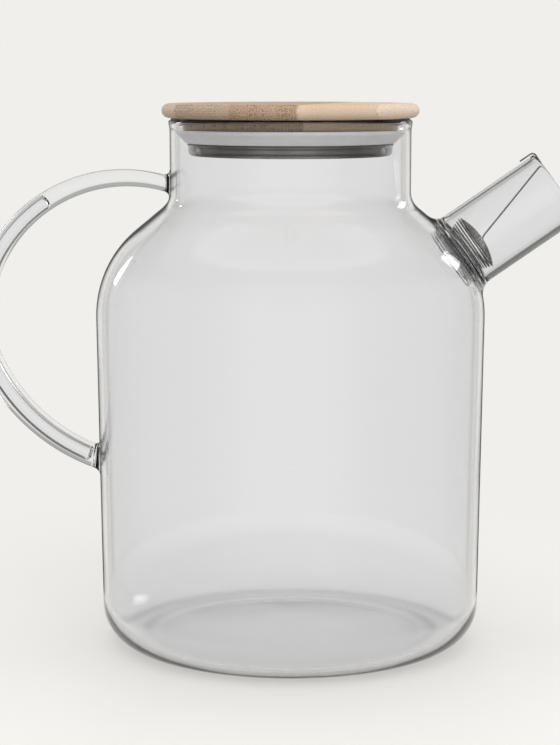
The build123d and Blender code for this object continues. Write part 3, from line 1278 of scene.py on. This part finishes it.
def looking(field):
    """1 for rays by which a camera, glass or metal sees, 0 for rays that light things."""
    camera, gloss = light_path(field, "Is Camera Ray"), light_path(field, "Is Glossy Ray")
    through = light_path(field, "Is Transmission Ray")
    return field.maths("MAXIMUM", field.maths("MAXIMUM", camera, gloss), through)


def at_least_once(field, kind):
    """1 for rays that have been turned at least once, by reflection or by refraction."""
    return light_path(field, f"{kind} Depth").between(0.5, 1.0)


def dim_room(way):
    """How bright the room is round the jug: two dark flags behind, dim sides, a greyer front."""
    east, north = coordinate(way, 0), coordinate(way, 1)
    bearing = way.maths("ARCTAN2", north, east)
    aside = way.maths("ABSOLUTE", bearing - math.pi / 2)
    flags = aside.between(*flag_starts) * (1 - aside.between(*flag_ends))
    sides = way.maths("ABSOLUTE", east).between(0.3, 0.95)
    front = 1 - north.between(-0.3, 0.6)
    return (1 - flags * flag_darkness) * (1 - sides * side_dimness) * (1 - front * front_dimness)


# %% World
backdrop = (0.871, 0.863, 0.831, 1)
sky_light = (0.84, 0.84, 0.84, 1)
ground_light = (0.75, 0.75, 0.75, 1)
ceiling_dimness = 0.4
ceiling_behind_glass = 0.5
underside_dimness = 0.75


def make_world():
    world = bpy.data.worlds.new("studio")
    world.use_nodes = True
    way = Field(world.node_tree).node("ShaderNodeTexCoord", output="Generated")
    height = coordinate(way, 2)
    overhead, below = height.between(0.3, 0.6), 1 - height.between(-0.45, -0.22)
    ceiling = height.between(0.2, 0.35) * ceiling_behind_glass
    straight = 1 - ceiling * at_least_once(way, "Transmission")
    mirrored = dim_room(way) * (1 - overhead * ceiling_dimness) * (1 - below * underside_dimness)
    brightness = at_least_once(way, "Glossy") * (mirrored - straight) + straight
    seen = brightness.mix((0, 0, 0, 1), backdrop)
    lit = height.between(-0.1, 0.9).mix(ground_light, sky_light)
    feed(world.node_tree.nodes["Background"], "Color", looking(way).mix(lit, seen))
    bpy.context.scene.world = world


make_world()
print("backdrop:", backdrop[:3], "light from above:", sky_light[0], "and below:", ground_light[0])

# %% [markdown]
# The jug stands on a pale table that runs into the backdrop. Close to the jug the
# table is a plain matt surface, so it takes the jug's shadow. Further out it fades
# into a surface that shows the backdrop's own tone, because a matt table seen at a
# low angle would never match the backdrop evenly. The table lies a hair under the
# foot: where two surfaces share one place, the glass there renders black.

# %% Table
table_drop = 0.00015
table_rings = [0.05 * 2 ** step for step in range(8)]
table_columns = 96
matt_reach = (0.09, 0.3)
near_reflections = (0.085, 0.105)


def table_surface():
    material, place, shader = new_material("pale_table", Roughness=0.6, Specular_IOR_Level=0.2)
    tone = cloud(place, 12.0, 3.0).between(0.2, 0.8)
    feed(shader, "Base Color", tone.mix((0.80, 0.79, 0.76, 1), (0.79, 0.78, 0.75, 1)))
    matt = Field(material.node_tree, shader.outputs["BSDF"])
    away = place.node("ShaderNodeVectorMath", {"operation": "LENGTH"}, {0: place}, 1)
    shown = looking(place).mix(ground_light, backdrop)
    glow = place.node("ShaderNodeEmission", None, {"Color": shown})
    surface = away.between(*matt_reach).mix_shaders(matt, glow)
    past = at_least_once(place, "Glossy") * away.between(*near_reflections)
    show(material, past.mix_shaders(surface, place.node("ShaderNodeBsdfTransparent")))
    return material


def make_table():
    mesh = bmesh.new()
    ring = [mesh.verts.new((0, 0, -table_drop))]
    for radius in table_rings:
        points = [polar(radius, turn, -table_drop) for turn in even_turns(table_columns)]
        ring = next_ring(mesh, ring, points)
    bmesh.ops.recalc_face_normals(mesh, faces=mesh.faces[:])
    table = mesh_object(mesh, "table", table_surface())
    table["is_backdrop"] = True
    return table


table = make_table()
print("table:", [round(side, 2) for side in table.dimensions])

# %% [markdown]
# ## Lamps
#
# Two narrow soft boxes stand low behind the jug, left and right, where they show
# as the bright patches on its shoulder. Only the right one is also seen through the
# glass, as the patch below the spout. A broad one in front and one overhead give
# the light, and the glass doesn't mirror them, because their reflections would
# cover it. The camera sees none of the four.

# %% Soft boxes
jug_middle = Vector((0, 0, 0.1))


def soft_box(name, bearing, height, distance, size, watts, mirrored=True, seen_through=False):
    """Large rectangular lamp that faces the jug from a bearing and a height in degrees."""
    height = math.radians(height)
    way = polar(math.cos(height), math.radians(bearing), math.sin(height))
    lamp = bpy.data.lights.new(name, "AREA")
    lamp.shape = "RECTANGLE"
    lamp.size, lamp.size_y = size
    lamp.energy = watts
    box = add_object(name, lamp)
    box.location = jug_middle + way * distance
    box.rotation_euler = way.to_track_quat("Z", "Y").to_euler()
    box.visible_camera = False
    box.visible_glossy = mirrored
    box.visible_transmission = seen_through
    radiance = watts / (size[0] * size[1] * math.pi)
    print(f"{name}: {radiance:.2f} watts a square metre and steradian")


soft_box("left_box", 137, 18, 1.2, (0.11, 0.36), 0.9)
soft_box("right_box", 45, 20, 1.2, (0.22, 0.3), 0.75, seen_through=True)
soft_box("fill_box", 285, 50, 1.3, (0.9, 0.7), 7.2, mirrored=False)
soft_box("top_box", 90, 75, 1.3, (0.9, 0.9), 2.0, mirrored=False)

# %% [markdown]
# ## Camera
#
# The camera stands 0.7 m in front of the jug, a little above its lid, and looks
# down by 8 degrees. Its lens and height came from matching the jug's outline.

# %% Camera
camera_data = bpy.data.cameras.new("camera")
camera_data.lens = 102.35
camera_data.sensor_width = 36.0
camera_data.clip_end = 30.0
camera = add_object("camera", camera_data)
camera.location = (-0.00343, -0.7, 0.1891)
camera.rotation_euler = (math.radians(90 - 8.04), 0, 0)
bpy.context.scene.camera = camera
bpy.context.scene.view_settings.view_transform = "Standard"
print("camera:", tuple(round(part, 4) for part in camera.location))

# %% Sizes and finish
bpy.context.view_layer.update()
sizes = {
    "cad": [list(corner) for corner in cad_box],
    "visual": [list(corner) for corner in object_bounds()],
}
for name, (low, high) in sizes.items():
    print(name, [round(1000 * (b - a), 2) for a, b in zip(low, high)], "mm")
